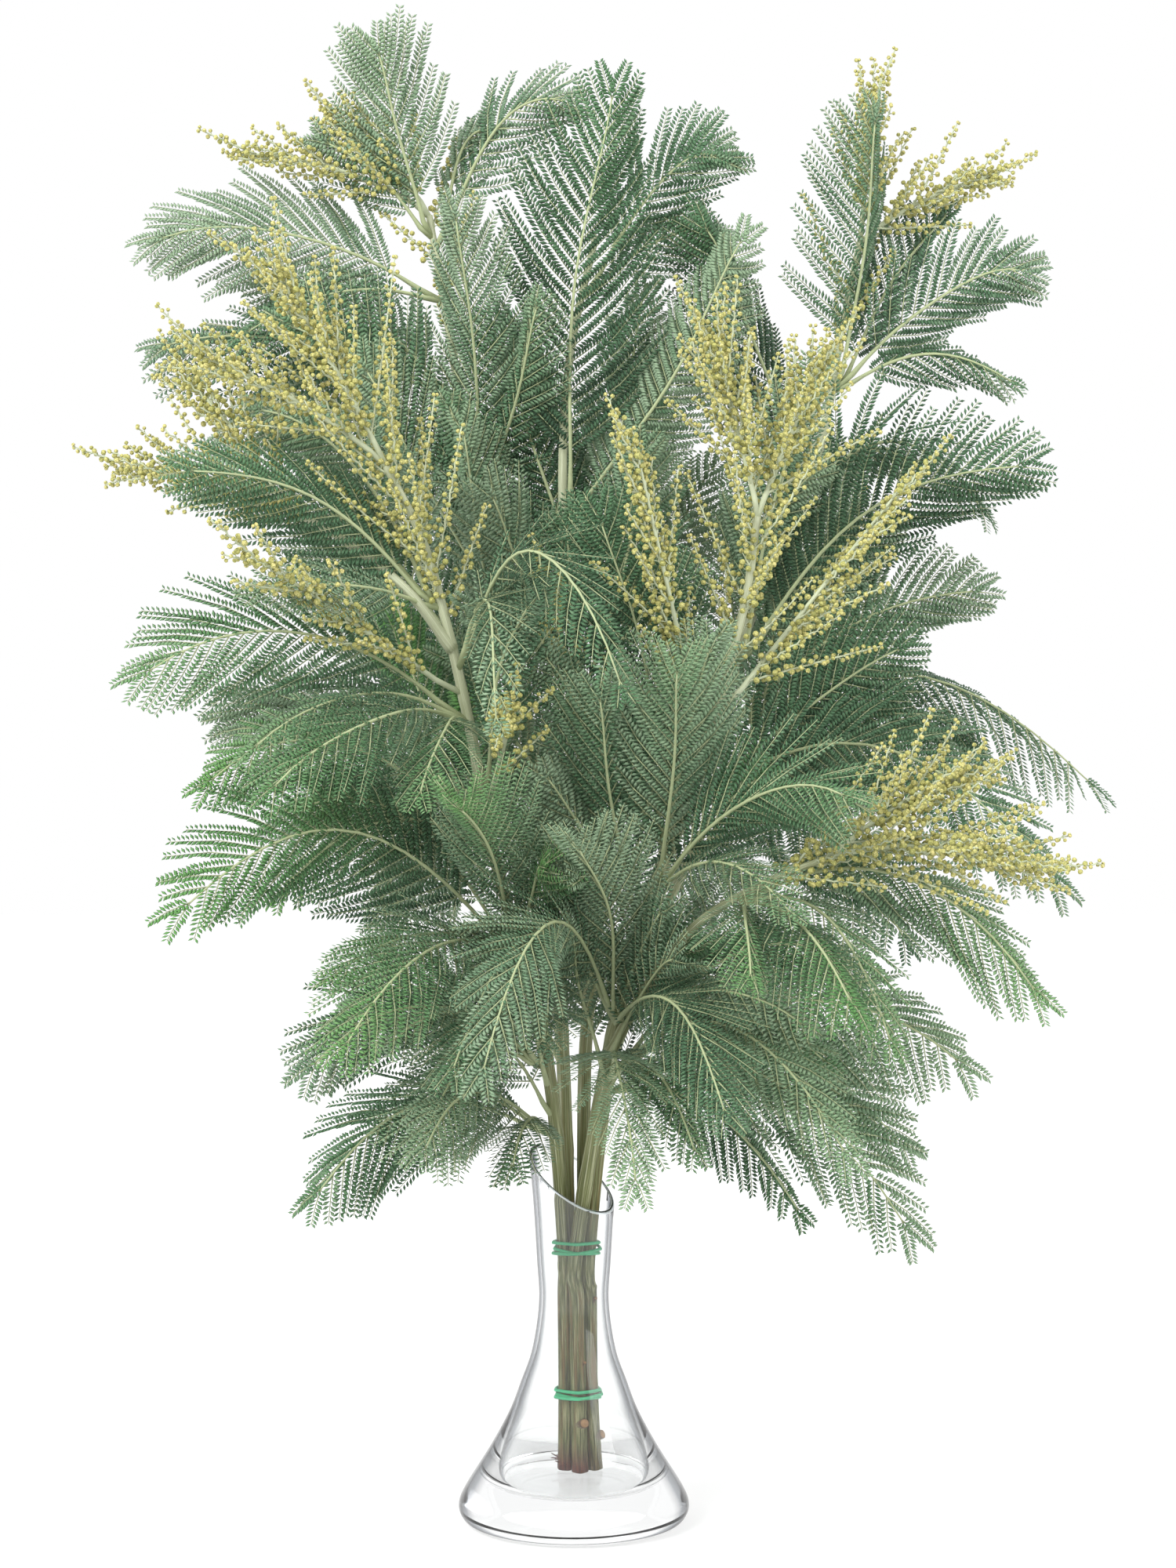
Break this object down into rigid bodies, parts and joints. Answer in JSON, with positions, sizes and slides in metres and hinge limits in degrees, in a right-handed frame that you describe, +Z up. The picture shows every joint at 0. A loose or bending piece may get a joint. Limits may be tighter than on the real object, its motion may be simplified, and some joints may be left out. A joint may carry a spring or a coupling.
{
  "type": "bunch of mimosa branches in a vase",
  "caption": "Bunch of silver wattle (mimosa) branches in bud with feathery leaves, tied with green rubber bands and standing in a clear glass vase with a slanting mouth.",
  "frame": {"origin": "centre of the vase's flat underside", "axes": "+Z up along the vase's axis, +X to the right and -Y towards the viewer of the picture"},
  "size_m": [0.4675, 0.3849, 0.6823],
  "materials": {
    "glass": "clear polished",
    "band_rubber": "satin",
    "bark": "ridged young bark",
    "buds": "matte",
    "foliage": "matte, downy"
  },
  "bodies": {
    "root": {"band_lower": "band_rubber", "band_upper": "band_rubber", "frond_back_crown": "foliage", "frond_back_east": "foliage", "frond_back_high": "foliage", "frond_back_middle": "foliage", "frond_back_top": "foliage", "frond_back_west": "foliage", "frond_centre": "foliage", "frond_chest": "foliage", "frond_core": "foliage", "frond_crown": "foliage", "frond_east": "foliage", "frond_east_high": "foliage", "frond_east_low": "foliage", "frond_east_up": "foliage", "frond_face_left": "foliage", "frond_face_low": "foliage", "frond_face_right": "foliage", "frond_heart": "foliage", "frond_inner_left": "foliage", "frond_left_bright": "foliage", "frond_left_fan": "foliage", "frond_left_foot": "foliage", "frond_left_high": "foliage", "frond_left_hook": "foliage", "frond_left_low": "foliage", "frond_north_west": "foliage", "frond_nose": "foliage", "frond_right_curl": "foliage", "frond_right_droop": "foliage", "frond_right_low": "foliage", "frond_right_tip": "foliage", "frond_rim_left": "foliage", "frond_rim_right": "foliage", "frond_shoulder": "foliage", "frond_top_arch": "foliage", "frond_top_left": "foliage", "frond_top_right": "foliage", "frond_upright_left": "foliage", "frond_west": "foliage", "spray_back_left": "buds", "spray_back_right": "buds", "spray_chest": "buds", "spray_far_left": "buds", "spray_front_left": "buds", "spray_front_right": "buds", "spray_front_top": "buds", "spray_left_side": "buds", "spray_left_top": "buds", "spray_low_right": "buds", "spray_middle": "buds", "spray_top_left": "buds", "spray_top_right": "buds", "stem_centre": "bark", "stem_front": "bark", "stem_left": "bark", "stem_right": "bark", "stem_top_left": "bark", "vase": "glass"}
  },
  "joints": []
}
